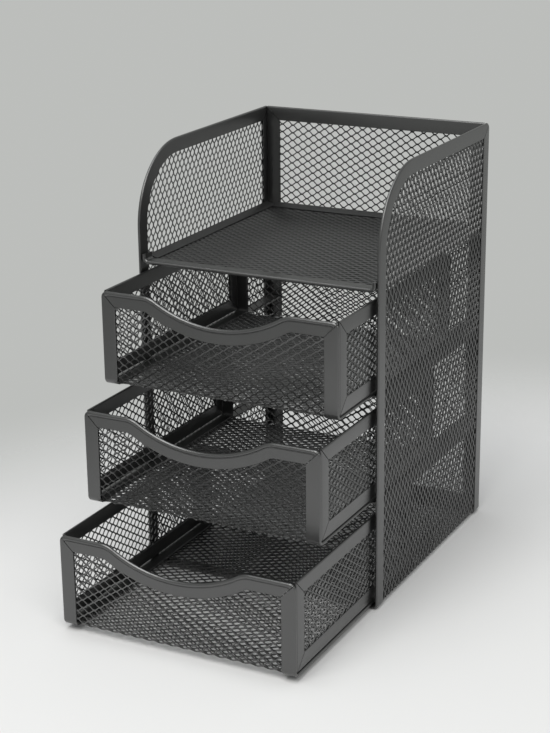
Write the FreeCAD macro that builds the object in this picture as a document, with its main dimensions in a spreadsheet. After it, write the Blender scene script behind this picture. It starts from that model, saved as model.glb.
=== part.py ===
import FreeCAD, Part
import math
import os
import Sketcher

# Desk organizer of expanded steel mesh: an open bin on top of three sliding drawers.
# The edges of every mesh sheet are gripped by folded strips of sheet steel, whose fold is
# a rolled bead. The bead and the small bends have the sides of an octagon, and the mesh's
# fine diamonds stand as a coarse grid of openings. Millimetres, +Z up, -Y forward. The
# origin is the middle of the cabinet's front lower edge, on the surface that it stands on.

SIZES = {
    # cabinet
    "cabinet_width": 150.0,
    "cabinet_depth": 160.0,
    "cabinet_height": 250.0,
    "wall_curve_radius": 45.0,  # upper front corner of the side walls
    "shell_bend_radius": 2.0,  # middle of the sheet, between walls and floor
    # mesh and its edge strips
    "mesh_thickness": 0.9,
    "opening_long": 25.0,  # least room that an opening of the grid takes, along the mesh's long way
    "opening_short": 22.0,
    "drawer_opening_short": 14.0,
    "strand_width": 4.0,
    "rim_width": 8.5,
    "hem_thickness": 1.7,
    "bead_diameter": 2.4,
    "mesh_inset": 3.4,  # from the outside of a rim to the edge of the sheet in it
    "slot_play": 0.05,
    "seam": 0.2,  # opening of a mitre seam or butt joint
    "frame_gap": 0.4,  # between an inset panel frame and the rims around it
    "frame_recess": 1.6,  # how far an inset panel stands back from the outside
    # shelf
    "shelf_height": 186.4,
    "shelf_flange_height": 7.0,
    "shelf_back_height": 3.0,
    "shelf_ledge": 5.0,
    "flange_thickness": 0.8,
    "shelf_turn_up": 4.6,
    "shelf_bend_radius": 2.4,
    # runners
    "runner_width": 9.0,
    "runner_height": 6.5,
    "runner_thickness": 1.0,
    # drawers
    "bay_gap": 8.2,  # from one drawer's upper edge to the bottom of the drawer above
    "shelf_gap": 4.05,  # from the top drawer's upper edge to the shelf's angle strips
    "drawer_side_gap": 0.9,
    "drawer_back_gap": 1.0,
    "drawer_lift": 0.3,  # running gap over the runners and the floor beads
    "tray_bend_radius": 2.8,  # middle of the sheet
    "dip_half_width": 45.4,  # finger dip, from its middle to where the edge is straight
    "dip_depth": 12.5,
    "shoulder_radius": 15.0,
    # how far each drawer is pulled out
    "top_pull": 45.0,
    "middle_pull": 67.0,
    "bottom_pull": 96.5,
}

doc = FreeCAD.newDocument("desk_organizer")
sheet = doc.addObject("Spreadsheet::Sheet", "sizes")
for row, (alias, number) in enumerate(SIZES.items(), start=1):
    sheet.set(f"A{row}", alias)
    sheet.set(f"B{row}", str(number))
    sheet.setAlias(f"B{row}", alias)
doc.recompute()


def value(expression):
    """The number that an expression on the sheet gives."""
    return float(sheet.evalExpression(expression))


# Places that several pieces share, as expressions on the sheet. Lengths across the sheet
# or strip are from its middle plane.
WIDTH, DEPTH, HEIGHT = "sizes.cabinet_width", "sizes.cabinet_depth", "sizes.cabinet_height"
BEAD = "sizes.bead_diameter"
SEAM = "sizes.seam"
BEAD_R = f"({BEAD} / 2)"
HEM_HALF = "(sizes.hem_thickness / 2)"
MESH_HALF = "(sizes.mesh_thickness / 2)"
SEAT = "sizes.mesh_inset"
LONG_WAY, SHORT_WAY = "sizes.opening_long", "sizes.opening_short"
DRAWER_SHORT_WAY = "sizes.drawer_opening_short"
WALL_X = f"({WIDTH} / 2 - {BEAD_R})"
BAY_X = f"({WIDTH} / 2 - {BEAD})"
CURVE = "sizes.wall_curve_radius"
SHELL_BEND = "sizes.shell_bend_radius"
TRAY_BEND = "sizes.tray_bend_radius"
FLOOR_Z = BEAD_R
FLOOR_TOP = BEAD
PANEL_SET = f"(sizes.frame_recess + {BEAD_R})"
FRAME_SET = f"({BEAD} + sizes.frame_gap)"
BACK_Y = f"({DEPTH} - {PANEL_SET})"
BACK_FACE = f"({BACK_Y} - {BEAD_R})"
SHELF_Z = "sizes.shelf_height"
LEDGE_Z = f"({SHELF_Z} - {MESH_HALF})"
FLANGE_X = f"({WALL_X} - {HEM_HALF})"
DRAWER_X = f"({BAY_X} - sizes.drawer_side_gap)"
DRAWER_Y = f"(({BACK_FACE} - sizes.drawer_back_gap) / 2)"
TRAY_Y = f"({DRAWER_Y} - {BEAD_R})"
DRAWER_Z = f"({FLOOR_TOP} + sizes.drawer_lift)"
STACK_TOP = f"({LEDGE_Z} - sizes.flange_thickness - sizes.shelf_gap)"
DRAWER_H = f"(({STACK_TOP} - {DRAWER_Z} - 2 * sizes.bay_gap) / 3)"
PITCH = f"({DRAWER_H} + sizes.bay_gap)"
DIP_X, DIP_DEPTH, SHOULDER_R = "sizes.dip_half_width", "sizes.dip_depth", "sizes.shoulder_radius"
DIP_SPAN = f"(({DIP_X}^2 + {DIP_DEPTH}^2) / (2 * {DIP_DEPTH}))"  # between the two arcs' middles
DIP_R = f"({DIP_SPAN} - {SHOULDER_R})"
DIP_Z = f"({DRAWER_H} - {DIP_DEPTH} + {DIP_R})"
SHOULDER_Z = f"({DRAWER_H} - {SHOULDER_R})"

NORMALS = {"XY": 1, "XZ": -1, "YZ": 1}  # sense of each origin plane's normal


def new_body(label, place=()):
    """An empty body, moved to the place that up to three expressions give."""
    body = doc.addObject("PartDesign::Body", label)
    body.Label = label
    for axis, expression in zip("xyz", place):
        body.setExpression(f"Placement.Base.{axis}", expression)
    return body


def origin_plane(body, plane):
    return next(item for item in body.Origin.OriginFeatures if item.Role == f"{plane}_Plane")


def new_sketch(body, name, plane, at="0"):
    """A sketch parallel to one of the body's origin planes, at a coordinate along its axis."""
    sketch = body.newObject("Sketcher::SketchObject", name)
    sketch.AttachmentSupport = [(origin_plane(body, plane), "")]
    sketch.MapMode = "FlatFace"
    sketch.setExpression("AttachmentOffset.Base.z", f"{NORMALS[plane]} * ({at})")
    return sketch


def tie_coordinate(sketch, kind, geometry, point, expression):
    """Ties a point's distance from the sketch's origin, DistanceX or DistanceY."""
    tie = Sketcher.Constraint(kind, geometry, point, value(expression))
    sketch.setExpression(f"Constraints[{sketch.addConstraint(tie)}]", expression)


def locate(sketch, geometry, point, across, up):
    """Ties a point of the sketch to two expressions."""
    tie_coordinate(sketch, "DistanceX", geometry, point, across)
    tie_coordinate(sketch, "DistanceY", geometry, point, up)


def tie_radius(sketch, arc, expression):
    tie = Sketcher.Constraint("Radius", arc, value(expression))
    sketch.setExpression(f"Constraints[{sketch.addConstraint(tie)}]", expression)


def axis_line(sketch, way, level):
    """A construction line along +u or +v, at a coordinate across it."""
    ends = [("0", level), (BEAD, level)] if way == "u" else [(level, "0"), (level, BEAD)]
    spots = [FreeCAD.Vector(value(across), value(up)) for across, up in ends]
    line = sketch.addGeometry(Part.LineSegment(*spots), True)
    locate(sketch, line, 1, *ends[0])
    locate(sketch, line, 2, *ends[1])


def add_arc(sketch, start, through, end):
    return sketch.addGeometry(Part.Arc(start, through, end))


def arc_ends(sketch, arc, start):
    """The arc's point numbers, with the one nearer to start first."""
    first, second = sketch.getPoint(arc, 1), sketch.getPoint(arc, 2)
    return (1, 2) if (first - start).Length < (second - start).Length else (2, 1)


def round_corner(sketch, corner, spot, entry, leave, line_in, line_out):
    """A tangent arc between two lines, held by the corner where the lines would meet."""
    radius = value(corner[2])
    middle = (entry + leave) / 2
    reach = math.hypot(radius, (entry - spot).Length)
    centre = spot + (middle - spot).normalize() * reach
    top = centre + (spot - centre).normalize() * radius
    arc = add_arc(sketch, entry, top, leave)
    first, last = arc_ends(sketch, arc, entry)
    sketch.addConstraint(Sketcher.Constraint("Tangent", line_in, 2, arc, first))
    sketch.addConstraint(Sketcher.Constraint("Tangent", line_out, 1, arc, last))
    tie_radius(sketch, arc, corner[2])
    point = sketch.addGeometry(Part.Point(spot), True)
    sketch.addConstraint(Sketcher.Constraint("PointOnObject", point, 1, line_in))
    sketch.addConstraint(Sketcher.Constraint("PointOnObject", point, 1, line_out))
    locate(sketch, point, 1, corner[0], corner[1])


def draw(sketch, corners, closed=True):
    """Lines through corners (across, up), rounded where a corner also has a radius."""
    spots = [FreeCAD.Vector(value(corner[0]), value(corner[1])) for corner in corners]
    count = len(corners)
    entries, exits = list(spots), list(spots)
    for i, corner in enumerate(corners):
        if len(corner) == 3:
            back = spots[i - 1] - spots[i]
            ahead = spots[(i + 1) % count] - spots[i]
            reach = value(corner[2]) / math.tan(back.getAngle(ahead) / 2)
            entries[i] = spots[i] + back.normalize() * reach
            exits[i] = spots[i] + ahead.normalize() * reach
    lines = []
    for i in range(count if closed else count - 1):
        line = Part.LineSegment(exits[i], entries[(i + 1) % count])
        lines.append(sketch.addGeometry(line))
    if not closed:
        locate(sketch, lines[0], 1, *corners[0])
        locate(sketch, lines[-1], 2, *corners[-1])
    for i in range(0 if closed else 1, count if closed else count - 1):
        line_in, line_out = lines[i - 1], lines[i]
        if len(corners[i]) == 3:
            round_corner(sketch, corners[i], spots[i], entries[i], exits[i], line_in, line_out)
        else:
            sketch.addConstraint(Sketcher.Constraint("Coincident", line_in, 2, line_out, 1))
            locate(sketch, line_in, 2, *corners[i])


def pad(body, name, sketch, length, side="Symmetric"):
    feature = body.newObject("PartDesign::Pad", name)
    feature.Profile = sketch
    feature.SideType = side
    feature.setExpression("Length", length)
    return feature


def cut_through(body, name, sketch):
    feature = body.newObject("PartDesign::Pocket", name)
    feature.Profile = sketch
    feature.Type = "ThroughAll"
    feature.Midplane = True
    return feature


def turn(body, name, section, angle, side="Forward"):
    """Revolves a section about its own axis line, right-handed along +u or +v."""
    feature = body.newObject("PartDesign::Revolution", name)
    feature.Profile = section
    feature.ReferenceAxis = (section, ["Axis0"])
    feature.Midplane = side == "Symmetric"
    feature.Reversed = side == "Backward"
    feature.setExpression("Angle", angle)
    return feature


def rim_section(body, name, plane, at, edge, inward, axis=None):
    """Section of an edge strip: a rolled bead of eight sides and a hem with the sheet's slot.

    edge is the point on the outside of the bead, in the strip's middle plane, and inward
    is the way from there to the sheet: +u or -u across the sketch, +v or -v up it. axis is
    the line that a bend turns about: u or v for its way, then its coordinate.
    """
    sketch = new_sketch(body, name, plane, at)
    sign, along_u = inward[0], inward[1] == "u"
    flat = f"({BEAD_R} * tan(360 / 8 / 2))"  # half of one of the bead's sides
    half = [
        ("0", flat),
        (f"{BEAD_R} - {flat}", BEAD_R),
        (f"{BEAD_R} + {flat}", BEAD_R),
        (f"{BEAD} + {flat} - {HEM_HALF}", HEM_HALF),
        ("sizes.rim_width", HEM_HALF),
        ("sizes.rim_width", f"{MESH_HALF} + sizes.slot_play"),
        (f"{SEAT} - sizes.slot_play", f"{MESH_HALF} + sizes.slot_play"),
    ]
    corners = []
    for depth, side in half + [(depth, f"-({side})") for depth, side in reversed(half)]:
        deep, wide = f"{sign} ({depth})", f"+ ({side})"
        across, up = (deep, wide) if along_u else (wide, deep)
        corners.append((f"{edge[0]} {across}", f"{edge[1]} {up}"))
    draw(sketch, corners)
    if axis:
        axis_line(sketch, *axis)
    return sketch


def mitre(body, name, plane, corner, inside, runs):
    """Cuts an edge strip's end at 45 degrees through the outer corner of two strips.

    inside is the way from the corner into the panel, as a sign across and a sign up, and
    runs is the way that this strip runs: u across the sketch or v up it.
    """
    sketch = new_sketch(body, f"{name}_outline", plane)
    spare = BEAD
    reach = f"(sizes.rim_width + {spare})"
    step = f"({SEAM} / sqrt(2))"
    u, v = corner
    shift_u, shift_v = ("0", step) if runs == "v" else (step, "0")
    start = (f"{u} - {inside[0]} * ({spare} - {shift_u})", f"{v} - {inside[1]} * ({spare} - {shift_v})")
    end = (f"{u} + {inside[0]} * ({reach} + {shift_u})", f"{v} + {inside[1]} * ({reach} + {shift_v})")
    third = (end[0], start[1]) if runs == "v" else (start[0], end[1])
    draw(sketch, [start, end, third])
    return cut_through(body, name, sketch)


def sweep(body, name, section, path):
    """A section carried along a path of straight runs, with mitred corners."""
    feature = body.newObject("PartDesign::AdditivePipe", name)
    feature.Profile = section
    feature.Spine = path
    feature.Transition = "Right corner"
    return feature


def mirror(body, name, plane, features):
    """The features again on the other side of one of the body's origin planes."""
    mirrored = body.newObject("PartDesign::Mirrored", name)
    mirrored.Originals = features
    mirrored.MirrorPlane = (origin_plane(body, plane), [""])
    body.Tip = mirrored


def folded(body, name, across, section, half, low, high, radius):
    """One side of a U, from its middle: floor, a bend of two flats, and upright.

    across is the origin plane that halves the U, whose uprights stand at half from it.
    """
    side = "" if across == "YZ" else "-"
    pivot = f"({half} - {radius})"
    path = new_sketch(body, f"{name}_path", "XZ" if across == "YZ" else "YZ", "0")
    draw(
        path,
        [
            ("0", low),
            (f"{side}{pivot}", low),
            (f"{side}({pivot} + {radius} * sin(45))", f"{low} + {radius} * (1 - cos(45))"),
            (f"{side}{half}", f"{low} + {radius}"),
            (f"{side}{half}", high),
        ],
        closed=False,
    )
    return sweep(body, name, section, path)


def folded_strip(body, name, across, half, low, high, radius, edge, inward):
    """One side of a U-shaped strip.

    edge is where the outside of the bead lies along the U's width, and inward the way from
    there to the sheet, + or -.
    """
    section = rim_section(body, f"{name}_section", across, "0", (edge, low), f"{inward}u")
    return folded(body, name, across, section, half, low, high, radius)


def folded_sheet(body, name, across, first, second, half, low, high, radius):
    """A sheet folded into a U, from first to second along the U's width."""
    section = new_sketch(body, f"{name}_section", across)
    rectangle(section, first, second, f"{low} - {MESH_HALF}", f"{low} + {MESH_HALF}")
    side = folded(body, name, across, section, half, low, high, radius)
    mirror(body, f"{name}_other_side", across, [side])


def rectangle(sketch, low_u, high_u, low_v, high_v):
    draw(sketch, [(low_u, low_v), (high_u, low_v), (high_u, high_v), (low_u, high_v)])


def open_grid(body, name, plane, window, least_u, least_v):
    """Fills a window of a sheet with a grid of openings, each taking at least so much room."""
    low_u, high_u, low_v, high_v = window
    strand = "sizes.strand_width / 2"
    across, up = f"(({high_u}) - ({low_u}))", f"(({high_v}) - ({low_v}))"
    columns, rows = f"floor({across} / {least_u})", f"floor({up} / {least_v})"
    step_u, step_v = f"({across} / {columns})", f"({up} / {rows})"
    outline = new_sketch(body, f"{name}_opening", plane)
    rectangle(
        outline,
        f"{low_u} + {strand}",
        f"{low_u} + {step_u} - {strand}",
        f"{low_v} + {strand}",
        f"{low_v} + {step_v} - {strand}",
    )
    first = cut_through(body, f"{name}_first", outline)
    grid = body.newObject("PartDesign::LinearPattern", name)
    grid.Originals = [first]
    grid.Direction = (outline, ["H_Axis"])
    grid.Direction2 = (outline, ["V_Axis"])
    grid.Mode = grid.Mode2 = "Spacing"
    grid.Spacings2 = [-1.0]  # the first step up is the offset too
    grid.setExpression("Offset", step_u)
    grid.setExpression("Offset2", step_v)
    grid.setExpression("Occurrences", columns)
    grid.setExpression("Occurrences2", rows)
    body.Tip = grid


def panel(label, plane, at, bounds, short_way, place=()):
    """A flat mesh sheet parallel to an origin plane, seated inside a frame with these bounds."""
    body = new_body(label, place)
    sketch = new_sketch(body, f"{label}_outline", plane, at)
    low_u, high_u, low_v, high_v = bounds
    rectangle(
        sketch,
        f"{low_u} + {SEAT}",
        f"{high_u} - {SEAT}",
        f"{low_v} + {SEAT}",
        f"{high_v} - {SEAT}",
    )
    pad(body, f"{label}_sheet", sketch, "sizes.mesh_thickness")
    rim = "sizes.rim_width"
    window = (f"{low_u} + {rim}", f"{high_u} - {rim}", f"{low_v} + {rim}", f"{high_v} - {rim}")
    open_grid(body, f"{label}_grid", plane, window, LONG_WAY, short_way)


def frame(label, plane, at, bounds, place=()):
    """A four-sided mitred frame of edge strip with these outer bounds."""
    body = new_body(label, place)
    low_u, high_u, low_v, high_v = bounds
    middle = f"(({low_u}) + ({high_u})) / 2"
    path = new_sketch(body, f"{label}_path", plane, at)
    draw(
        path,
        [(middle, low_v), (high_u, low_v), (high_u, high_v), (low_u, high_v), (low_u, low_v)],
    )
    if plane == "XZ":
        section = rim_section(body, f"{label}_section", "YZ", middle, (at, low_v), "+v")
    else:
        section = rim_section(body, f"{label}_section", "XZ", middle, (at, low_v), "+v")
    sweep(body, f"{label}_strip", section, path)


def shell_mesh():
    """One sheet bent into left wall, floor and right wall, its upper front corners curved."""
    body = new_body("shell_mesh")
    back, top, rim = f"({DEPTH} - {SEAT})", f"({HEIGHT} - {SEAT})", "sizes.rim_width"
    folded_sheet(body, "shell_sheet", "YZ", SEAT, back, WALL_X, FLOOR_Z, top, SHELL_BEND)
    window = (rim, f"{DEPTH} - {rim}", f"{FLOOR_Z} + {SHELL_BEND}", f"{HEIGHT} - {rim}")
    open_grid(body, "wall_grid", "YZ", window, SHORT_WAY, LONG_WAY)
    corner = new_sketch(body, "shell_corner", "YZ")
    draw(
        corner,
        [
            (SEAT, f"{HEIGHT} - 2 * {CURVE}"),
            (SEAT, f"{HEIGHT} - {SEAT}", f"{CURVE} - {SEAT}"),
            (f"2 * {CURVE}", f"{HEIGHT} - {SEAT}"),
            (f"2 * {CURVE}", f"{HEIGHT} + {SEAT}"),
            (f"-{SEAT}", f"{HEIGHT} + {SEAT}"),
            (f"-{SEAT}", f"{HEIGHT} - 2 * {CURVE}"),
        ],
    )
    cut_through(body, "shell_curve", corner)


def shell_front_rim():
    """Strip along the top, the curve and the front of both walls, and along the floor."""
    body = new_body("shell_front_rim")
    curve_foot = f"({HEIGHT} - {CURVE})"
    side = folded_strip(body, "front", "YZ", WALL_X, FLOOR_Z, curve_foot, SHELL_BEND, "0", "+")
    start = rim_section(body, "curve_section", "XY", curve_foot, (WALL_X, "0"), "+v", ("u", CURVE))
    curve = turn(body, "curve", start, "90", "Backward")
    top = rim_section(body, "top_section", "XZ", CURVE, (WALL_X, HEIGHT), "-v")
    top_run = pad(body, "top_run", top, f"{DEPTH} - {CURVE}", "One side")
    top_run.Reversed = True
    mirror(body, "other_side", "YZ", [side, curve, top_run])
    mitre(body, "top_mitre", "YZ", (DEPTH, HEIGHT), (-1, -1), "u")


def shell_back_rim():
    """Strip up the back edge of both walls and along the floor's back edge."""
    body = new_body("shell_back_rim")
    side = folded_strip(body, "back", "YZ", WALL_X, FLOOR_Z, HEIGHT, SHELL_BEND, DEPTH, "-")
    mirror(body, "other_side", "YZ", [side])
    mitre(body, "back_mitre", "YZ", (DEPTH, HEIGHT), (-1, -1), "v")


def shelf():
    """Floor of the open bin: a sheet on angle strips, with a beaded strip along its front."""
    turn_x = f"({BAY_X} - {SEAM} - {BEAD_R})"
    flange_back = f"({BACK_FACE} - {SEAM})"
    flange_front = f"(sizes.rim_width + {SEAM})"
    thick = "sizes.flange_thickness"
    sheet_x = f"({FLANGE_X} - {thick} - sizes.slot_play)"
    tab_x = f"({turn_x} - sizes.shelf_bend_radius)"
    back_edge = f"({flange_back} - {thick} - sizes.slot_play)"

    body = new_body("shelf_mesh")
    outline = new_sketch(body, "shelf_outline", "XY", SHELF_Z)
    draw(
        outline,
        [
            (f"-{tab_x}", SEAT),
            (tab_x, SEAT),
            (tab_x, flange_front),
            (sheet_x, flange_front),
            (sheet_x, back_edge),
            (f"-{sheet_x}", back_edge),
            (f"-{sheet_x}", flange_front),
            (f"-{tab_x}", flange_front),
        ],
    )
    pad(body, "shelf_sheet", outline, "sizes.mesh_thickness")
    inner_x = f"({sheet_x} - sizes.shelf_ledge)"
    window = (f"-{inner_x}", inner_x, "sizes.rim_width", f"{back_edge} - sizes.shelf_ledge")
    open_grid(body, "shelf_grid", "XY", window, LONG_WAY, SHORT_WAY)

    body = new_body("shelf_front_rim")
    bend, top = "sizes.shelf_bend_radius", f"({SHELF_Z} + sizes.shelf_turn_up)"
    side = folded_strip(body, "shelf_front", "YZ", turn_x, SHELF_Z, top, bend, "0", "+")
    mirror(body, "shelf_other_side", "YZ", [side])

    for side, name in ((-1, "left"), (1, "right")):
        label = f"shelf_flange_{name}"
        body = new_body(label)
        outline = new_sketch(body, f"{label}_angle", "XZ", f"({flange_front} + {flange_back}) / 2")
        inner = f"({FLANGE_X} - {thick})"
        top = f"{SHELF_Z} + sizes.shelf_flange_height"
        draw(
            outline,
            [
                (f"{side} * {FLANGE_X}", f"{LEDGE_Z} - {thick}"),
                (f"{side} * {FLANGE_X}", top),
                (f"{side} * {inner}", top),
                (f"{side} * {inner}", LEDGE_Z),
                (f"{side} * ({inner} - sizes.shelf_ledge)", LEDGE_Z),
                (f"{side} * ({inner} - sizes.shelf_ledge)", f"{LEDGE_Z} - {thick}"),
            ],
        )
        pad(body, f"{label}_strip", outline, f"{flange_back} - {flange_front}")

    body = new_body("shelf_back_flange")
    outline = new_sketch(body, "shelf_back_angle", "YZ")
    top = f"{SHELF_Z} + sizes.shelf_back_height"
    draw(
        outline,
        [
            (flange_back, f"{LEDGE_Z} - {thick}"),
            (flange_back, top),
            (f"{flange_back} - {thick}", top),
            (f"{flange_back} - {thick}", LEDGE_Z),
            (f"{flange_back} - {thick} - sizes.shelf_ledge", LEDGE_Z),
            (f"{flange_back} - {thick} - sizes.shelf_ledge", f"{LEDGE_Z} - {thick}"),
        ],
    )
    half = f"({FLANGE_X} - {thick} - sizes.shelf_ledge - {SEAM})"
    pad(body, "shelf_back_strip", outline, f"2 * {half}")


def runners(level, drawer):
    """A pair of angle strips that a drawer slides on, welded to the walls' edge strips."""
    thick = "sizes.runner_thickness"
    top = f"({DRAWER_Z} + {level} * {PITCH} - sizes.drawer_lift)"
    front, back = f"({BEAD} + {SEAM})", f"({BACK_FACE} - {SEAM})"
    for side, name in ((-1, "left"), (1, "right")):
        label = f"{drawer}_runner_{name}"
        body = new_body(label)
        outline = new_sketch(body, f"{label}_angle", "XZ", f"({front} + {back}) / 2")
        draw(
            outline,
            [
                (f"{side} * {FLANGE_X}", top),
                (f"{side} * ({FLANGE_X} - sizes.runner_width)", top),
                (f"{side} * ({FLANGE_X} - sizes.runner_width)", f"{top} - {thick}"),
                (f"{side} * ({FLANGE_X} - {thick})", f"{top} - {thick}"),
                (f"{side} * ({FLANGE_X} - {thick})", f"{top} - sizes.runner_height"),
                (f"{side} * {FLANGE_X}", f"{top} - sizes.runner_height"),
            ],
        )
        pad(body, f"{label}_strip", outline, f"{back} - {front}")


def dip_outline(sketch, inset, top):
    """What a drawer front loses to its finger dip: all above its edge, set in by a distance.

    The edge is level beyond the dip, and turns over two shoulders into one long hollow.
    """
    edge = f"({DRAWER_H} - {inset})"
    round_r = f"({SHOULDER_R} - {inset})"
    meet_x = f"({DIP_X} - {round_r} * {DIP_X} / {DIP_SPAN})"
    meet_z = f"({SHOULDER_Z} + {round_r} * ({DIP_SPAN} - {DIP_DEPTH}) / {DIP_SPAN})"
    bottom = FreeCAD.Vector(0, value(f"{DIP_Z} - {DIP_R} - {inset}"))
    halves = []
    for side in ("-", ""):
        corners = [
            (f"{side}{DIP_X}", edge),
            (f"{side}{DRAWER_X}", edge),
            (f"{side}{DRAWER_X}", top),
        ]
        spots = [FreeCAD.Vector(value(across), value(up)) for across, up in corners]
        level = sketch.addGeometry(Part.LineSegment(spots[0], spots[1]))
        upright = sketch.addGeometry(Part.LineSegment(spots[1], spots[2]))
        sketch.addConstraint(Sketcher.Constraint("Coincident", level, 2, upright, 1))
        locate(sketch, level, 1, *corners[0])
        locate(sketch, level, 2, *corners[1])
        locate(sketch, upright, 2, *corners[2])
        centre = FreeCAD.Vector(value(f"{side}{DIP_X}"), value(SHOULDER_Z))
        meet = FreeCAD.Vector(value(f"{side}{meet_x}"), value(meet_z))
        over = centre + (spots[0] + meet - centre * 2).normalize() * value(round_r)
        shoulder = add_arc(sketch, spots[0], over, meet)
        first, last = arc_ends(sketch, shoulder, spots[0])
        sketch.addConstraint(Sketcher.Constraint("Coincident", level, 1, shoulder, first))
        locate(sketch, shoulder, 3, f"{side}{DIP_X}", SHOULDER_Z)
        tie_coordinate(sketch, "DistanceX", shoulder, last, f"{side}{meet_x}")
        halves.append((upright, shoulder, last, meet))
    (left, left_round, left_end, start), (right, right_round, right_end, end) = halves
    hollow = add_arc(sketch, start, bottom, end)
    first, last = arc_ends(sketch, hollow, start)
    sketch.addConstraint(Sketcher.Constraint("Coincident", left_round, left_end, hollow, first))
    sketch.addConstraint(Sketcher.Constraint("Coincident", right_round, right_end, hollow, last))
    tie_coordinate(sketch, "DistanceY", hollow, 3, DIP_Z)
    lid = sketch.addGeometry(Part.LineSegment(sketch.getPoint(left, 2), sketch.getPoint(right, 2)))
    sketch.addConstraint(Sketcher.Constraint("Coincident", left, 2, lid, 1))
    sketch.addConstraint(Sketcher.Constraint("Coincident", right, 2, lid, 2))


def tray_mesh(drawer, place):
    """One sheet bent into a drawer's front, floor and back, with the dip cut in the front."""
    label = f"{drawer}_tray_mesh"
    body = new_body(label, place)
    edge, top = f"({DRAWER_X} - {SEAT})", f"({DRAWER_H} - {SEAT})"
    folded_sheet(body, f"{label}_sheet", "XZ", f"-{edge}", edge, TRAY_Y, BEAD_R, top, TRAY_BEND)
    rim = "sizes.rim_width"
    inner_x, under_dip = f"({DRAWER_X} - {rim})", f"{DRAWER_H} - {DIP_DEPTH} - {rim}"
    window = (f"-{inner_x}", inner_x, f"{BEAD_R} + {TRAY_BEND}", under_dip)
    open_grid(body, f"{label}_grid", "XZ", window, LONG_WAY, DRAWER_SHORT_WAY)
    dip = new_sketch(body, f"{label}_dip_outline", "XZ", f"-{DRAWER_Y}")
    dip_outline(dip, SEAT, f"({DRAWER_H} + {SEAT})")
    feature = body.newObject("PartDesign::Pocket", f"{label}_dip")
    feature.Profile = dip
    feature.setExpression("Length", f"{BEAD} + {TRAY_BEND}")


def tray_trims(drawer, place):
    """Strips along the side edges of the tray: down the front, along the floor, up the back."""
    for side, name, inward in ((-1, "left", "+"), (1, "right", "-")):
        label = f"{drawer}_trim_{name}"
        body = new_body(label, place)
        edge_x = f"({side} * {DRAWER_X})"
        reach = (TRAY_Y, BEAD_R, DRAWER_H, TRAY_BEND)
        front = folded_strip(body, f"{label}_front", "XZ", *reach, edge_x, inward)
        mirror(body, f"{label}_back", "XZ", [front])
        mitre(body, f"{label}_mitre", "XZ", (edge_x, DRAWER_H), (-side, -1), "v")


def mitre_ends(body, label):
    """Mitres both ends of a strip along a drawer's upper edge."""
    mitre(body, f"{label}_left_mitre", "XZ", (f"-{DRAWER_X}", DRAWER_H), (1, -1), "u")
    mitre(body, f"{label}_right_mitre", "XZ", (DRAWER_X, DRAWER_H), (-1, -1), "u")


def front_rim(drawer, place):
    """Strip along the drawer front's upper edge, following the finger dip."""
    label = f"{drawer}_front_rim"
    body = new_body(label, place)
    turned = f"asin({DIP_X} / {DIP_SPAN})"
    low, high = (f"-{TRAY_Y}", f"{DRAWER_H} - {DIP_DEPTH}"), (f"-{TRAY_Y}", DRAWER_H)
    middle = rim_section(body, f"{label}_dip_section", "YZ", "0", low, "-v", ("u", DIP_Z))
    turn(body, f"{label}_dip", middle, f"2 * {turned}", "Symmetric")
    end = rim_section(body, f"{label}_end_section", "YZ", DIP_X, high, "-v", ("u", SHOULDER_Z))
    shoulder = turn(body, f"{label}_shoulder", end, turned, "Backward")
    level = pad(body, f"{label}_level", end, f"{DRAWER_X} - {DIP_X}", "One side")
    mirror(body, f"{label}_other_side", "YZ", [shoulder, level])
    mitre_ends(body, label)


def back_rim(drawer, place):
    """Straight strip along the upper edge of the drawer's back."""
    label = f"{drawer}_back_rim"
    body = new_body(label, place)
    section = rim_section(body, f"{label}_section", "YZ", "0", (TRAY_Y, DRAWER_H), "-v")
    pad(body, f"{label}_strip", section, f"2 * {DRAWER_X}")
    mitre_ends(body, label)


def drawer_sides(drawer, place):
    """Inset side panels, each a flat sheet in a mitred frame, standing between the trims."""
    reach = f"({DRAWER_Y} - {FRAME_SET})"
    bounds = (f"-{reach}", reach, FRAME_SET, DRAWER_H)
    for side, name in ((-1, "left"), (1, "right")):
        at = f"{side} * ({DRAWER_X} - {PANEL_SET})"
        panel(f"{drawer}_side_mesh_{name}", "YZ", at, bounds, DRAWER_SHORT_WAY, place)
        frame(f"{drawer}_side_frame_{name}", "YZ", at, bounds, place)


def build_cabinet():
    shell_mesh()
    shell_front_rim()
    shell_back_rim()
    inner_x = f"({WIDTH} / 2 - {FRAME_SET})"
    bounds = (f"-{inner_x}", inner_x, f"({FLOOR_TOP} + sizes.frame_gap)", HEIGHT)
    panel("back_mesh", "XZ", BACK_Y, bounds, SHORT_WAY)
    frame("back_frame", "XZ", BACK_Y, bounds)
    shelf()
    runners(1, "middle")
    runners(2, "top")


def build_drawer(level, drawer):
    """A drawer, built about its own middle, then moved to its bay and pulled out."""
    height = f"{DRAWER_Z} + {level} * {PITCH}"
    place = ("0", f"{DRAWER_Y} - sizes.{drawer}_pull", height)
    tray_mesh(drawer, place)
    tray_trims(drawer, place)
    front_rim(drawer, place)
    back_rim(drawer, place)
    drawer_sides(drawer, place)


def checked_bodies():
    """Every body, once nothing in the document has failed and each is one valid solid."""
    doc.recompute()
    failed = [item.Name for item in doc.Objects if {"Invalid", "Error"} & set(item.State)]
    if failed:
        raise RuntimeError(f"failed objects: {failed}")
    bodies = [item for item in doc.Objects if item.TypeId == "PartDesign::Body"]
    for body in bodies:
        if body.Shape.isNull() or not body.Shape.isValid() or len(body.Shape.Solids) != 1:
            raise RuntimeError(f"{body.Label} isn't one valid solid")
    return bodies


build_cabinet()
for level, drawer in enumerate(("bottom", "middle", "top")):
    build_drawer(level, drawer)
os.makedirs("parts", exist_ok=True)
for body in checked_bodies():
    body.Shape.exportStep(f"parts/{body.Label}.step")
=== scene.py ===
import math

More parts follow.
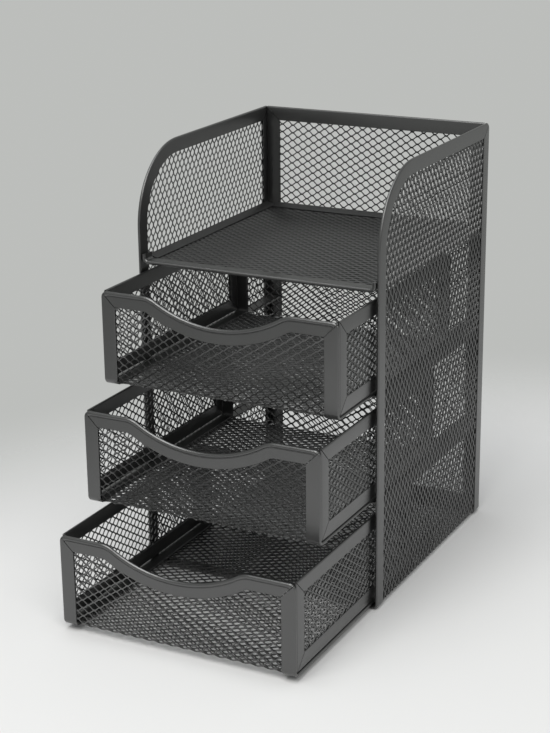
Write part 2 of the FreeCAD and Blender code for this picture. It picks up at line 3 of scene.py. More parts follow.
import bmesh
import bpy
import numpy as np
from mathutils import Matrix, Vector


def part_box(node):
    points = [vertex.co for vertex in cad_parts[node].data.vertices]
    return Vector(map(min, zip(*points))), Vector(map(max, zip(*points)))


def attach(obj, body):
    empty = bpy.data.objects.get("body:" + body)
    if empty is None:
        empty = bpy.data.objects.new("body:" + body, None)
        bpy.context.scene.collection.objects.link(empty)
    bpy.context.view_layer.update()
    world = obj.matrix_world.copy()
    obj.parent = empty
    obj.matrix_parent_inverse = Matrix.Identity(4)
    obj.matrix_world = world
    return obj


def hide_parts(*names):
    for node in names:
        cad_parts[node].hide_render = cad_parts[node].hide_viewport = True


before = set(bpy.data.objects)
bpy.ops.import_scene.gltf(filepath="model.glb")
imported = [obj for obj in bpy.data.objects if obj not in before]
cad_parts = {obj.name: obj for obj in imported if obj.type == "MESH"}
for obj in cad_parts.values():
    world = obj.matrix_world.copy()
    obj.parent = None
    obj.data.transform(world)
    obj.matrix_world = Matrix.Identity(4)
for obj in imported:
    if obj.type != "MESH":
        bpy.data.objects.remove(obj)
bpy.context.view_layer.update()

# Desk organizer of black expanded steel mesh. Every mesh sheet of the frame is replaced by a
# real lattice, and every edge strip by one with a slot that the lattice ends in. The drawers'
# front and back rims and the shelf's front rim have a round bead, and the others are plain.
# The runners keep the frame's form. Places come from the frame. The object's lengths are in
# millimetres and become metres where a mesh is made, and the studio's are in metres.
MM = 0.001
SHARP_ANGLE = math.radians(38)

# edge strips
RIM_WIDTH = 8.5
BEAD_R = 1.2
HEM_HALF = 0.85  # half the thickness of the flat part
NECK_HALF = 0.6  # half the thickness between the bead and the flat part
NECK_LENGTH = 0.35
SLOT_HALF = 0.5
MESH_INSET = 3.4  # from the outside of a strip to the edge of the sheet in it
EDGE_ROUND = 0.25  # bevel of the inner edge
BEAD_POINTS, NOSE_POINTS = 8, 6  # points round a bead, and round a plain strip's outer edge
SEAM = 0.4  # gap across a mitre, and behind the sheet's edge in its slot
MITRE_GAP = SEAM / math.sqrt(2)  # what that gap takes off a strip's end
# the strip along the shelf's edge with its slot for the sheet: from the wall in, and up
FLANGE_FOOT = ((0, 0), (5.7, 0), (5.7, 0.6), (0.5, 0.6), (0.5, 1.9))
FLANGE_SLOPE = ((5.7, 1.9), (5.7, 2.25), (5.4, 2.45), (1.0, 3.4), (0.3, 3.8), (0, 3.9))
# how much further than in the CAD a frame reaches to both sides and down
SIDE_SPREAD, BACK_SPREAD = 0.2, 0.7
SIDE_OUT = 1.6  # how much further out the drawers' side frames lie, near the trims' outside
# round outer corners, and how far along the strip the inner edge spreads at one
CORNER_R, CORNER_STEPS, CORNER_SPREAD = 3.2, 5, 0.6
BEND_STEPS, CURVE_STEPS = 8, 28

# expanded mesh: long way across a diamond, short way up it
HALF_LONG, HALF_SHORT = PITCH = 3.68, 2.41  # half a diamond, so from knot to knot
HOLE_X, HOLE_Y, HOLE_FLAT = 2.75, 1.85, 0.6  # half a hole each way, and half its flat edges
SHEET_HALF = 0.3
# how far a knot's two edges stand out of the plane of each sheet, and to which side
SHELL_LOUVRE, BACK_LOUVRE, SHELF_LOUVRE, SIDE_LOUVRE = 0.18, -0.2, 0.25, -0.18
TRAY_LOUVRES = {"bottom": 0.0, "middle": -0.28, "top": -0.28}
GRIPPED = 0.55  # share of that left where a strip grips the sheet
KNOT_MARGIN = 0.6  # least depth of a knot inside the sheet's outline
SPARE, CUT_SPARE = 1.1, 1.2  # how much more a weave covers when it is turned, or cut later
SHELL_LEAN = -0.0925  # how the long way drifts along the shell's depth
BACK_TURN, SHELF_TURN = math.radians(-2.0), math.radians(-2.5)

# bends and curves, as in the frame
WALL_CURVE = 45.0
SHELL_BEND = 2.0
TRAY_BEND = 2.8
SHELF_BEND = 2.4
DIP_X, DIP_DEPTH, SHOULDER_R = 45.4, 12.5, 15.0
DIP_SPAN = (DIP_X**2 + DIP_DEPTH**2) / (2 * DIP_DEPTH)
DIP_R = DIP_SPAN - SHOULDER_R
DIP_TURN = math.asin(DIP_X / DIP_SPAN)

X, Y, Z = np.eye(3)
ORIGIN = np.zeros(3)
SIDES = ((-1, "left"), (1, "right"))
DRAWERS = ("bottom", "middle", "top")


def corners(node):
    """Lowest and highest corner of a node of the frame, in millimetres."""
    low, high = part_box(node)
    return np.array(low) / MM, np.array(high) / MM


def add_piece(name, points, faces, body, node, slot):
    """A closed mesh in place of a node of the frame, smooth but for its sharp edges."""
    mesh = bpy.data.meshes.new(name)
    mesh.from_pydata((np.asarray(points) * MM).tolist(), [], faces)
    work = bmesh.new()
    work.from_mesh(mesh)
    bmesh.ops.recalc_face_normals(work, faces=work.faces)
    work.to_mesh(mesh)
    work.free()
    mesh.shade_smooth()
    mesh.set_sharp_from_angle(angle=SHARP_ANGLE)
    piece = bpy.data.objects.new(name, mesh)
    bpy.context.collection.objects.link(piece)
    mesh.materials.append(MATERIALS[slot])
    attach(piece, body)
    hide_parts(node)
    return piece


# --- materials -------------------------------------------------------------------------


COAT_IOR = 2.0
COAT_BLACK, COAT_ROUGHNESS = (0.008, 0.0083, 0.0083), 0.3
RUNNER_BLACK, RUNNER_ROUGHNESS = (0.016, 0.0165, 0.0165), 0.46
CLOUD_SCALE, CLOUD_DETAIL = 60, 4
CLOUD_DARK, CLOUD_LIGHT = 0.86, 1.14  # times the coat's colour
GLOSS_SPREAD = 0.05  # in roughness, to both sides
PEEL_DETAIL, PEEL_STRENGTH = 3, 0.6


def powder_coat(name, colour, roughness, grain, grain_height):
    """Satin black powder coat: a fine orange peel over steel, with faint cloudiness."""
    material = bpy.data.materials.new(name)
    material.use_nodes = True
    nodes, links = material.node_tree.nodes, material.node_tree.links
    shader = nodes["Principled BSDF"]
    shader.inputs["IOR"].default_value = COAT_IOR
    place = nodes.new("ShaderNodeTexCoord")
    cloud = nodes.new("ShaderNodeTexNoise")
    cloud.inputs["Scale"].default_value = CLOUD_SCALE
    cloud.inputs["Detail"].default_value = CLOUD_DETAIL
    tint = nodes.new("ShaderNodeMixRGB")
    tint.inputs["Color1"].default_value = (*[CLOUD_DARK * c for c in colour], 1)
    tint.inputs["Color2"].default_value = (*[CLOUD_LIGHT * c for c in colour], 1)
    gloss = nodes.new("ShaderNodeMapRange")
    gloss.inputs["To Min"].default_value = roughness - GLOSS_SPREAD
    gloss.inputs["To Max"].default_value = roughness + GLOSS_SPREAD
    peel = nodes.new("ShaderNodeTexNoise")
    peel.inputs["Scale"].default_value = grain
    peel.inputs["Detail"].default_value = PEEL_DETAIL
    bump = nodes.new("ShaderNodeBump")
    bump.inputs["Distance"].default_value = grain_height
    bump.inputs["Strength"].default_value = PEEL_STRENGTH
    links.new(place.outputs["Object"], cloud.inputs["Vector"])
    links.new(place.outputs["Object"], peel.inputs["Vector"])
    links.new(cloud.outputs["Fac"], tint.inputs["Fac"])
    links.new(tint.outputs["Color"], shader.inputs["Base Color"])
    links.new(cloud.outputs["Fac"], gloss.inputs["Value"])
    links.new(gloss.outputs["Result"], shader.inputs["Roughness"])
    links.new(peel.outputs["Fac"], bump.inputs["Height"])
    links.new(bump.outputs["Normal"], shader.inputs["Normal"])
    return material


# the last two numbers are the orange peel's noise scale and its height in metres
MATERIALS = {
    "mesh": powder_coat("mesh_coat", COAT_BLACK, COAT_ROUGHNESS, 1800, 0.00006),
    "edge_strip": powder_coat("strip_coat", COAT_BLACK, COAT_ROUGHNESS, 1400, 0.00008),
    "runner": powder_coat("runner_coat", RUNNER_BLACK, RUNNER_ROUGHNESS, 1400, 0.00008),
}


# --- edge strips -------------------------------------------------------------------------


def strip_profile(beaded):
    """Closed section of an edge strip: distance in from its outside, and to the side."""
    if beaded:
        last = math.pi - math.asin(NECK_HALF / BEAD_R)
        hem = BEAD_R + math.sqrt(BEAD_R**2 - NECK_HALF**2) + NECK_LENGTH
        turns = [(turn, BEAD_R) for turn in np.linspace(0, last, BEAD_POINTS)[1:]]
        neck = [(hem, NECK_HALF), (hem, HEM_HALF)]
    else:
        turns = [(turn, HEM_HALF) for turn in np.linspace(0, math.pi / 2, NOSE_POINTS)[1:]]
        neck = []
    nose = [(radius - radius * math.cos(turn), radius * math.sin(turn)) for turn, radius in turns]
    half = nose + neck + [
        (RIM_WIDTH - EDGE_ROUND, HEM_HALF),
        (RIM_WIDTH, HEM_HALF - EDGE_ROUND),
        (RIM_WIDTH, SLOT_HALF),
        (MESH_INSET - SEAM, SLOT_HALF),
    ]
    return np.array([(0.0, 0.0)] + half + [(deep, -side) for deep, side in reversed(half)])


BEADED, PLAIN = strip_profile(True), strip_profile(False)


def sweep(runs, body, node, profile=PLAIN):
    """One piece of strips that each follow stations: point, way in to the sheet, way aside."""
    points, faces = [], []
    count = len(profile)
    for stations in runs:
        base = len(points)
        for point, inward, side in stations:
            ring = point + profile[:, :1] * inward + profile[:, 1:] * side
            points.extend(ring)
        for i in range(len(stations) - 1):
            start = base + i * count
            for k in range(count):
                ahead = (k + 1) % count
                faces.append((start + k, start + ahead, start + count + ahead, start + count + k))
        faces.append(tuple(range(base, base + count)))
        end = base + (len(stations) - 1) * count
        faces.append(tuple(range(end, end + count)))
    return add_piece(f"{node}_strip", points, faces, body, node, "edge_strip")


def corner_stations(corner, inward, along, side):
    """Stations of a strip's end at a round outer corner, from the mitre on along the strip."""
    inner = corner + (inward + along) * RIM_WIDTH
    stations = []
    for turn in np.linspace(math.pi / 4, 0, CORNER_STEPS + 1):
        spread = 1 - turn / (math.pi / 4)
        outer = corner + CORNER_R * (inward * (1 - math.cos(turn)) + along * (1 - math.sin(turn)))
        reach = inner + along * spread * CORNER_SPREAD - outer
        stations.append((outer + along * MITRE_GAP, reach / RIM_WIDTH, side))
    stations.append((corner + along * (RIM_WIDTH + 2 * CORNER_SPREAD), inward, side))
    return stations


def turned(centre, start, towards, turn, steps):
    """Points of an arc round a centre, with how far each has turned from start to towards."""
    for angle in np.linspace(0, turn, steps + 1):
        yield centre + start * math.cos(angle) + towards * math.sin(angle), angle


def u_stations(across, half, low, high, bend, inward, base):
    """Stations up, over and down a U: from the far upright's top to the near one's.

    across is the way from one upright to the other, base the middle of the U on its floor
    line at height 0, and half, low, high and bend are as in the frame.
    """
    stations = [(base - across * half + Z * high, inward, -across)]
    centre = base - across * (half - bend) + Z * (low + bend)
    for point, angle in turned(centre, -across * bend, -Z * bend, math.pi / 2, BEND_STEPS):
        side = -across * math.cos(angle) - Z * math.sin(angle)
        stations.append((point, inward, side))
    centre = base + across * (half - bend) + Z * (low + bend)
    for point, angle in turned(centre, -Z * bend, across * bend, math.pi / 2, BEND_STEPS):
        side = -Z * math.cos(angle) + across * math.sin(angle)
        stations.append((point, inward, side))
    stations.append((base + across * half + Z * high, inward, across))
    return stations


def mitred_bar(start, end, inward, side):
    """Stations of a straight strip between two outer corners, mitred at both."""
    along = (end - start) / np.linalg.norm(end - start)
    gap = along * MITRE_GAP
    return [(start + gap, inward + along, side), (end - gap, inward - along, side)]


def build_frame(node, body, origin, across, up, size, side):
    """Four mitred strips round a flat sheet, from its lower corner."""
    spots = [
        origin,
        origin + across * size[0],
        origin + across * size[0] + up * size[1],
        origin + up * size[1],
    ]
    inwards = [up, -across, -up, across]
    runs = [
        mitred_bar(spots[i], spots[(i + 1) % 4], inwards[i], side)
        for i in range(4)
    ]
    sweep(runs, body, node)


def shell_rims(width, depth, height):
    """The cabinet's own two strips: its front edges with the curves and the top, and the back."""
    half = width / 2 - BEAD_R
    corners_at = [sign * X * half + Y * depth + Z * height for sign in (-1, 1)]
    front = u_stations(X, half, BEAD_R, height - WALL_CURVE, SHELL_BEND, Y, ORIGIN)
    back = u_stations(X, half, BEAD_R, height, SHELL_BEND, -Y, Y * depth)
    tops = []
    for sign, corner in zip((-1, 1), corners_at):
        side = sign * X
        centre = side * half + Y * WALL_CURVE + Z * (height - WALL_CURVE)
        arc = turned(centre, -Y * WALL_CURVE, Z * WALL_CURVE, math.pi / 2, CURVE_STEPS)
        curve = [(point, Y * math.cos(angle) - Z * math.sin(angle), side) for point, angle in arc]
        tops.append(curve[1:] + corner_stations(corner, -Z, -Y, side)[::-1])
    sweep([tops[0][::-1] + front + tops[1]], "cabinet", "shell_front_rim")
    ends = [corner_stations(corner, -Y, -Z, sign * X) for sign, corner in zip((-1, 1), corners_at)]
    sweep([ends[0] + back[1:-1] + ends[1][::-1]], "cabinet", "shell_back_rim")


def shoulder_stations(middle_x, y, top, first, last):
    """Stations over a shoulder of a drawer front, between two angles from upright."""
    centre = X * middle_x + Y * y + Z * (top - SHOULDER_R)
    stations = []
    for angle in np.linspace(first, last, BEND_STEPS + 1):
        out = X * math.sin(angle) + Z * math.cos(angle)
        stations.append((centre + out * SHOULDER_R, -out, -Y))
    return stations


def wave_stations(y, top):
    """Stations along the wave of a drawer front: a shoulder, the dip and a shoulder."""
    centre = Y * y + Z * (top - DIP_DEPTH + DIP_R)
    dip = []
    for angle in np.linspace(-DIP_TURN, DIP_TURN, CURVE_STEPS + 1)[1:-1]:
        out = X * math.sin(angle) - Z * math.cos(angle)
        dip.append((centre + out * DIP_R, out, -Y))
    left = shoulder_stations(-DIP_X, y, top, 0, DIP_TURN)
    right = shoulder_stations(DIP_X, y, top, -DIP_TURN, 0)
    return left + dip + right


# --- expanded mesh -----------------------------------------------------------------------

# corners of a hole from its middle: the long way, the short way, and the side they stand to
HOLE = (
    (HOLE_X, 0, 0),
    (HOLE_FLAT, HOLE_Y, -1),
    (-HOLE_FLAT, HOLE_Y, -1),
    (-HOLE_X, 0, 0),
    (-HOLE_FLAT, -HOLE_Y, 1),
    (HOLE_FLAT, -HOLE_Y, 1),
)
# faces at a knot, each corner as (a, b, k): corner k of the hole a and b steps from the knot
KNOT = ((1, 0, 3), (0, 1, 5), (0, 1, 4), (-1, 0, 0), (0, -1, 2), (0, -1, 1))
STRAND_UP = ((1, 0, 3), (1, 0, 2), (0, 1, 0), (0, 1, 5))
STRAND_DOWN = ((0, -1, 1), (0, -1, 0), (1, 0, 4), (1, 0, 3))


def turned_weave(angle):
    """Long and short way of a mesh that lies turned in its sheet."""
    return np.array([[math.cos(angle), math.sin(angle)], [-math.sin(angle), math.cos(angle)]])


def lattice(node, body, middle, reach, depth, place, louvre, weave=np.eye(2)):
    """Expanded mesh in a sheet whose flat form is given by how deep a point lies in it.

    A knot is where four strands meet, and a hole's six corners carry the steel round it.
    middle is the flat sheet's middle, reach how far the mesh goes from it each way, and
    weave its long and short way in the sheet. depth gives how far inside the outline a
    point lies, and place puts points (first way, second way, lift) in space.
    """
    count_u, count_v = [math.ceil(size / pitch) for size, pitch in zip(reach, PITCH)]
    grid = [
        (i, j)
        for i in range(-count_u, count_u + 1)
        for j in range(-count_v, count_v + 1)
        if (i + j) % 2 == 0
    ]
    spots = np.array(grid) * PITCH @ weave + middle
    depths = depth(spots[:, 0], spots[:, 1])
    kept = {spot for spot, deep in zip(grid, depths) if deep > KNOT_MARGIN}
    numbers, faces = {}, []

    def face(i, j, corners_of):
        keys = [(i + a, j + b, k) for a, b, k in corners_of]
        faces.append([numbers.setdefault(key, len(numbers)) for key in keys])

    for i, j in sorted(kept):
        face(i, j, KNOT)
        if (i + 1, j + 1) in kept:
            face(i, j, STRAND_UP)
        if (i + 1, j - 1) in kept:
            face(i, j, STRAND_DOWN)
    keys = np.array(list(numbers))
    hole = np.array(HOLE)[keys[:, 2]]
    flat = (keys[:, :2] * PITCH + hole[:, :2]) @ weave + middle
    free = depth(flat[:, 0], flat[:, 1]) + MESH_INSET - RIM_WIDTH
    lift = louvre * hole[:, 2] * np.clip(GRIPPED + free, GRIPPED, 1)
    top = place(flat[:, 0], flat[:, 1], lift + SHEET_HALF)
    bottom = place(flat[:, 0], flat[:, 1], lift - SHEET_HALF)
    total = len(numbers)
    # an edge that only one face has is on a hole or on the outline, and gets a wall
    rims = {}
    for corners_of in faces:
        for start, end in zip(corners_of, corners_of[1:] + corners_of[:1]):
            if (end, start) in rims:
                del rims[end, start]
            else:
                rims[start, end] = True
    walls = [(end, start, start + total, end + total) for start, end in rims]
    under = [[corner + total for corner in reversed(corners_of)] for corners_of in faces]
    points = np.concatenate([top, bottom])
    return add_piece(f"{node}_lattice", points, faces + under + walls, body, node, "mesh")


def bent(first, second, low, radius, flat):
    """Place and outward way, across and up, of a distance along a U from its middle."""
    middle, half = (first + second) / 2, (second - first) / 2 - radius
    arc = radius * math.pi / 2
    side, far = np.sign(flat), np.abs(flat)
    angle = np.clip((far - half) / radius, 0, math.pi / 2)
    across = middle + side * (np.minimum(far, half) + radius * np.sin(angle))
    up = low + radius * (1 - np.cos(angle)) + np.maximum(far - half - arc, 0)
    return across, up, side * np.sin(angle), -np.cos(angle)


def flat_length(first, second, low, high, radius):
    """Half the length of a U's flat form."""
    return (second - first) / 2 - radius + radius * math.pi / 2 + high - low - radius


def shell_lattice(width, depth, height):
    """The sheet that is bent into the left wall, the floor and the right wall."""
    half = width / 2 - BEAD_R
    sheet = (-half, half, BEAD_R, SHELL_BEND)

    def deep(u, v):
        _, up, _, _ = bent(*sheet, u)
        low, high = v - MESH_INSET, depth - MESH_INSET - v
        top = height - MESH_INSET - up
        curved = (v < WALL_CURVE) & (up > height - WALL_CURVE)
        away = np.hypot(WALL_CURVE - v, up - height + WALL_CURVE)
        corner = np.where(curved, WALL_CURVE - MESH_INSET - away, WALL_CURVE)
        return np.minimum.reduce([low, high, top, corner])

    def place(u, v, lift):
        across, up, out_x, out_z = bent(*sheet, u)
        return np.stack([across + lift * out_x, v, up + lift * out_z], axis=1)

    length = flat_length(-half, half, BEAD_R, height, SHELL_BEND)
    reach = (length, depth / 2 - SHELL_LEAN * length)
    weave = np.array([[1, SHELL_LEAN], [0, 1]])
    lattice("shell_mesh", "cabinet", (0, depth / 2), reach, deep, place, SHELL_LOUVRE, weave)


def flat_lattice(node, body, origin, across, up, out, size, louvre, turn=0):
    """A flat sheet from the lower outer corner of its frame, long way across."""

    def deep(u, v):
        sides = [u, size[0] - u, v, size[1] - v]
        return np.minimum.reduce(sides) - MESH_INSET

    def place(u, v, lift):
        return origin + np.outer(u, across) + np.outer(v, up) + np.outer(lift, out)

    middle = (size[0] / 2, size[1] / 2)
    reach = [SPARE * half for half in middle]
    lattice(node, body, middle, reach, deep, place, louvre, turned_weave(turn))


def wave_height(x, top):
    """Height of a drawer front's upper edge."""
    meet = DIP_X - SHOULDER_R * math.sin(DIP_TURN)
    far = np.abs(x)
    shoulder = top - SHOULDER_R + np.sqrt(np.maximum(SHOULDER_R**2 - (DIP_X - far) ** 2, 0))
    hollow = top - DIP_DEPTH + DIP_R - np.sqrt(np.maximum(DIP_R**2 - far**2, 0))
    return np.where(far >= DIP_X, top, np.where(far >= meet, shoulder, hollow))


# --- the cabinet -------------------------------------------------------------------------

shell_low, shell_high = corners("shell_front_rim")
_, back_high = corners("shell_back_rim")
WIDTH = shell_high[0] - shell_low[0]
DEPTH, HEIGHT = back_high[1], shell_high[2]


def build_back():
    """The back panel: four strips and the sheet in them."""
    low, high = corners("back_frame")
    middle_y = (low[1] + high[1]) / 2
    origin = np.array([low[0] - BACK_SPREAD, middle_y, low[2] - BACK_SPREAD])
    size = (high[0] - low[0] + 2 * BACK_SPREAD, high[2] - low[2] + BACK_SPREAD)
    build_frame("back_frame", "cabinet", origin, X, Z, size, Y)
    flat_lattice("back_mesh", "cabinet", origin, X, Z, Y, size, BACK_LOUVRE, BACK_TURN)


def trimmed(piece, point, way):
    """Cuts off what lies beyond a plane and closes the cut."""
    work = bmesh.new()
    work.from_mesh(piece.data)
    everything = work.verts[:] + work.edges[:] + work.faces[:]
    cut = bmesh.ops.bisect_plane(
        work, geom=everything, plane_co=point * MM, plane_no=way, clear_outer=True
    )
    edges = [item for item in cut["geom_cut"] if isinstance(item, bmesh.types.BMEdge)]
    bmesh.ops.edgenet_fill(work, edges=edges)
    work.to_mesh(piece.data)
    work.free()


def build_shelf():
    """The bin's floor, with its front strip bent up at both ends."""
    low, high = corners("shelf_mesh")
    _, rim_high = corners("shelf_front_rim")
    level = (low[2] + high[2]) / 2
    half = rim_high[0] - BEAD_R
    stations = u_stations(X, half, level, rim_high[2], SHELF_BEND, Y, ORIGIN)
    sweep([stations], "cabinet", "shelf_front_rim", BEADED)
    tab = half - SHELF_BEND
    past_wall = high[0] + HALF_LONG + KNOT_MARGIN  # the sheet is trimmed at the walls later

    def deep(u, v):
        limit = np.where(v < rim_high[1] + SEAM, tab, past_wall)
        return np.minimum(limit - np.abs(u), v - low[1])

    def place(u, v, lift):
        return np.stack([u, v, level + lift], axis=1)

    middle = (0, (low[1] + high[1]) / 2)
    reach = (SPARE * high[0], CUT_SPARE * (high[1] - low[1]) / 2)
    weave = turned_weave(SHELF_TURN)
    piece = lattice("shelf_mesh", "cabinet", middle, reach, deep, place, SHELF_LOUVRE, weave)
    trimmed(piece, X * high[0], X)
    trimmed(piece, X * low[0], -X)
    trimmed(piece, Y * high[1], Y)


def angle_strip(node, start, end, inboard):
    """A strip along the shelf's edge that leans on the wall, from its lowest line there."""
    outline = FLANGE_FOOT + FLANGE_SLOPE
    ends = [[spot + inboard * deep + Z * up for deep, up in outline] for spot in (start, end)]
    count = len(outline)
    faces = [(k, (k + 1) % count, (k + 1) % count + count, k + count) for k in range(count)]
    faces += [tuple(range(count)), tuple(range(count, 2 * count))]
    add_piece(f"{node}_strip", ends[0] + ends[1], faces, "cabinet", node, "edge_strip")


def build_flanges():
    """The strips that join the shelf to the two walls and to the back."""
    for sign, name in SIDES:
        node = f"shelf_flange_{name}"
        low, high = corners(node)
        wall = X * (high[0] if sign > 0 else low[0]) + Z * low[2]
        angle_strip(node, wall + Y * low[1], wall + Y * high[1], -sign * X)
    low, high = corners("shelf_back_flange")
    wall = Y * high[1] + Z * low[2]
    angle_strip("shelf_back_flange", wall + X * low[0], wall + X * high[0], -Y)


# --- the drawers -------------------------------------------------------------------------


def build_drawer(drawer):
    """One drawer: trims, front and back rims, the bent tray sheet, and two side panels."""
    body = f"{drawer}_drawer"
    rim_low, rim_high = corners(f"{drawer}_front_rim")
    _, back_rim_high = corners(f"{drawer}_back_rim")
    trim_low, _ = corners(f"{drawer}_trim_left")
    half = -trim_low[0]
    bottom, top = trim_low[2], rim_high[2]
    front, back = rim_low[1] + BEAD_R, back_rim_high[1] - BEAD_R
    floor = bottom + BEAD_R

    def top_ends(y, side):
        """The two round ends of the strip along the tray's upper edge at y."""
        spots = [sign * X * half + Y * y + Z * top for sign in (-1, 1)]
        return [corner_stations(spot, -Z, along, side) for spot, along in zip(spots, (X, -X))]

    for sign, name in SIDES:
        inward = -sign * X
        base = Y * (front + back) / 2 + sign * X * half
        around = u_stations(Y, (back - front) / 2, floor, top, TRAY_BEND, inward, base)
        ends = [
            corner_stations(sign * X * half + Y * y + Z * top, inward, -Z, side)
            for y, side in ((front, -Y), (back, Y))
        ]
        stations = ends[0] + around[1:-1] + ends[1][::-1]
        sweep([stations], body, f"{drawer}_trim_{name}")

    left, right = top_ends(front, -Y)
    stations = left + wave_stations(front, top) + right[::-1]
    sweep([stations], body, f"{drawer}_front_rim", BEADED)
    left, right = top_ends(back, Y)
    sweep([left + right[::-1]], body, f"{drawer}_back_rim", BEADED)

    sheet = (front, back, floor, TRAY_BEND)

    def deep(u, v):
        _, up, _, _ = bent(*sheet, v)
        edge = np.where(v < 0, wave_height(u, top), top)
        slope = np.where(v < 0, (wave_height(u + 1, top) - wave_height(u - 1, top)) / 2, 0)
        below = (edge - up) / np.hypot(1, slope)
        return np.minimum(half - np.abs(u), below) - MESH_INSET

    def place(u, v, lift):
        along, up, out_y, out_z = bent(*sheet, v)
        return np.stack([u, along + lift * out_y, up + lift * out_z], axis=1)

    reach = (half, flat_length(front, back, floor, top, TRAY_BEND))
    lattice(f"{drawer}_tray_mesh", body, (0, 0), reach, deep, place, TRAY_LOUVRES[drawer])

    for sign, name in SIDES:
        low, high = corners(f"{drawer}_side_frame_{name}")
        middle_x = (low[0] + high[0]) / 2 + sign * SIDE_OUT
        origin = np.array([middle_x, low[1] - SIDE_SPREAD, low[2] - SIDE_SPREAD])
        size = (high[1] - low[1] + 2 * SIDE_SPREAD, high[2] - low[2] + SIDE_SPREAD)
        build_frame(f"{drawer}_side_frame_{name}", body, origin, Y, Z, size, sign * X)
        mesh_node = f"{drawer}_side_mesh_{name}"
        flat_lattice(mesh_node, body, origin, Y, Z, sign * X, size, SIDE_LOUVRE)


shell_rims(WIDTH, DEPTH, HEIGHT)
shell_lattice(WIDTH, DEPTH, HEIGHT)
build_back()
build_shelf()
build_flanges()
for drawer in DRAWERS:
    build_drawer(drawer)

# the runners keep the frame's form and take their coat only
for node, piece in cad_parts.items():
    if "runner" in node:
        piece.data.materials.clear()
        piece.data.materials.append(MATERIALS["runner"])


# --- floor, light and camera ---------------------------------------------------------------

FLOOR_COLOUR = (0.8, 0.8, 0.795, 1)
FLOOR_MIDDLE = (0.3, -0.1, 0)
FLOOR_CLEAR, FLOOR_REACH = 0.44, 0.68  # where the floor starts to fade, and where it ends
FLOOR_ROUGHNESS = 0.7
FLOOR_SEGMENTS = 96
SKY_COLOUR, SKY_LIGHT = (0.97, 0.99, 1.0, 1), 0.3
BACKDROP_COLOUR = (0.505, 0.515, 0.5, 1)
LAMP_TARGET = (0, 0.06, 0.12)
WARM, COOL = (1, 0.99, 0.97), (0.97, 0.99, 1)
# name, place, width, power and colour
LAMPS = (
    ("front", (-0.1, -1.15, 1.75), 1.2, 17, WARM),
    ("right", (1.05, -1.0, 1.3), 1.2, 9.5, WARM),
    ("top", (-0.1, -0.15, 2.0), 1.3, 14, COOL),
)
# the camera that the cabinet's corners, shelf and drawers were measured with
CAMERA_PLACE = (0.43328, -0.81333, 0.44140)
CAMERA_YAW, CAMERA_PITCH, CAMERA_ROLL = 27.396, 18.433, -0.669  # in degrees
CAMERA_LENS = 85.61
CAMERA_NEAR = 0.01


def build_floor():
    """A plain pale floor that keeps the object's shadow and fades out into the backdrop."""
    mesh = bpy.data.meshes.new("floor")
    work = bmesh.new()
    bmesh.ops.create_circle(work, cap_ends=True, segments=FLOOR_SEGMENTS, radius=FLOOR_REACH)
    work.to_mesh(mesh)
    work.free()
    floor = bpy.data.objects.new("floor", mesh)
    floor.location = FLOOR_MIDDLE
    bpy.context.collection.objects.link(floor)
    material = bpy.data.materials.new("pale_floor")
    material.use_nodes = True
    nodes, links = material.node_tree.nodes, material.node_tree.links
    shader = nodes["Principled BSDF"]
    shader.inputs["Base Color"].default_value = FLOOR_COLOUR
    shader.inputs["Roughness"].default_value = FLOOR_ROUGHNESS
    place = nodes.new("ShaderNodeTexCoord")
    distance = nodes.new("ShaderNodeVectorMath")
    distance.operation = "LENGTH"
    fade = nodes.new("ShaderNodeMapRange")
    fade.interpolation_type = "SMOOTHSTEP"
    fade.inputs["From Min"].default_value = FLOOR_CLEAR
    fade.inputs["From Max"].default_value = FLOOR_REACH
    fade.inputs["To Min"].default_value = 1
    fade.inputs["To Max"].default_value = 0
    links.new(place.outputs["Object"], distance.inputs[0])
    links.new(distance.outputs["Value"], fade.inputs["Value"])
    links.new(fade.outputs["Result"], shader.inputs["Alpha"])
    mesh.materials.append(material)


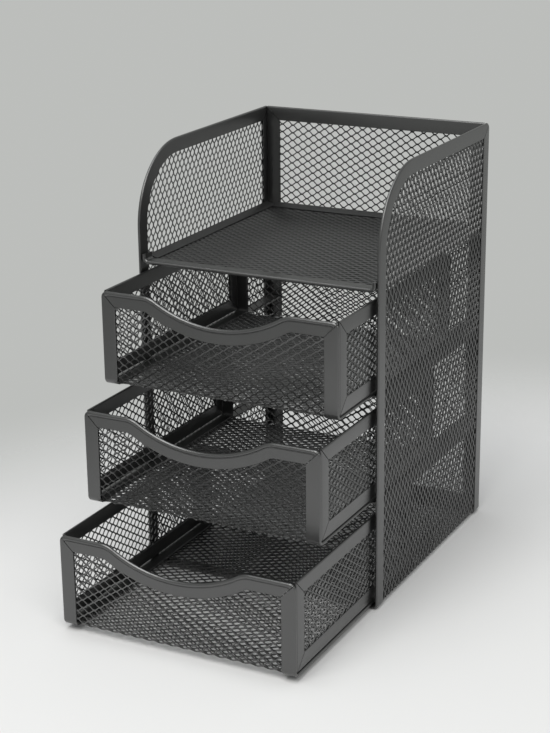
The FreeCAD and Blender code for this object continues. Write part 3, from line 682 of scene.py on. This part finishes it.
def build_world():
    """Soft light from everywhere, seen directly, in a gloss and through glass as pale grey."""
    world = bpy.data.worlds.new("studio")
    bpy.context.scene.world = world
    world.use_nodes = True
    nodes, links = world.node_tree.nodes, world.node_tree.links
    light, seen = nodes["Background"], nodes.new("ShaderNodeBackground")
    light.inputs["Color"].default_value = SKY_COLOUR
    light.inputs["Strength"].default_value = SKY_LIGHT
    seen.inputs["Color"].default_value = BACKDROP_COLOUR
    ray = nodes.new("ShaderNodeLightPath")
    either, share = nodes.new("ShaderNodeMath"), nodes.new("ShaderNodeMath")
    for node in (either, share):
        node.operation = "ADD"
        node.use_clamp = True
    mix = nodes.new("ShaderNodeMixShader")
    links.new(ray.outputs["Is Camera Ray"], either.inputs[0])
    links.new(ray.outputs["Is Glossy Ray"], either.inputs[1])
    links.new(either.outputs["Value"], share.inputs[0])
    links.new(ray.outputs["Is Transmission Ray"], share.inputs[1])
    links.new(share.outputs["Value"], mix.inputs["Fac"])
    links.new(light.outputs["Background"], mix.inputs[1])
    links.new(seen.outputs["Background"], mix.inputs[2])
    links.new(mix.outputs["Shader"], nodes["World Output"].inputs["Surface"])


def add_softbox(name, place, width, power, colour):
    """A round area lamp that faces the object."""
    light = bpy.data.lights.new(name, "AREA")
    light.shape = "DISK"
    light.size = width
    light.energy = power
    light.color = colour
    lamp = bpy.data.objects.new(name, light)
    lamp.location = place
    towards = Vector(LAMP_TARGET) - Vector(place)
    lamp.rotation_euler = towards.to_track_quat("-Z", "Y").to_euler()
    bpy.context.collection.objects.link(lamp)


def build_camera():
    """The camera of the photo, as the scene's only one."""
    camera = bpy.data.cameras.new("camera")
    camera.lens = CAMERA_LENS
    camera.clip_start = CAMERA_NEAR
    view = bpy.data.objects.new("camera", camera)
    yaw, pitch, roll = map(math.radians, (CAMERA_YAW, CAMERA_PITCH, CAMERA_ROLL))
    turn = Matrix.Rotation(yaw, 4, "Z") @ Matrix.Rotation(math.pi / 2 - pitch, 4, "X")
    place = Matrix.Translation(Vector(CAMERA_PLACE))
    view.matrix_world = place @ turn @ Matrix.Rotation(roll, 4, "Z")
    bpy.context.collection.objects.link(view)
    bpy.context.scene.camera = view


build_floor()
build_world()
for lamp in LAMPS:
    add_softbox(*lamp)
build_camera()
bpy.context.scene.view_settings.view_transform = "Standard"
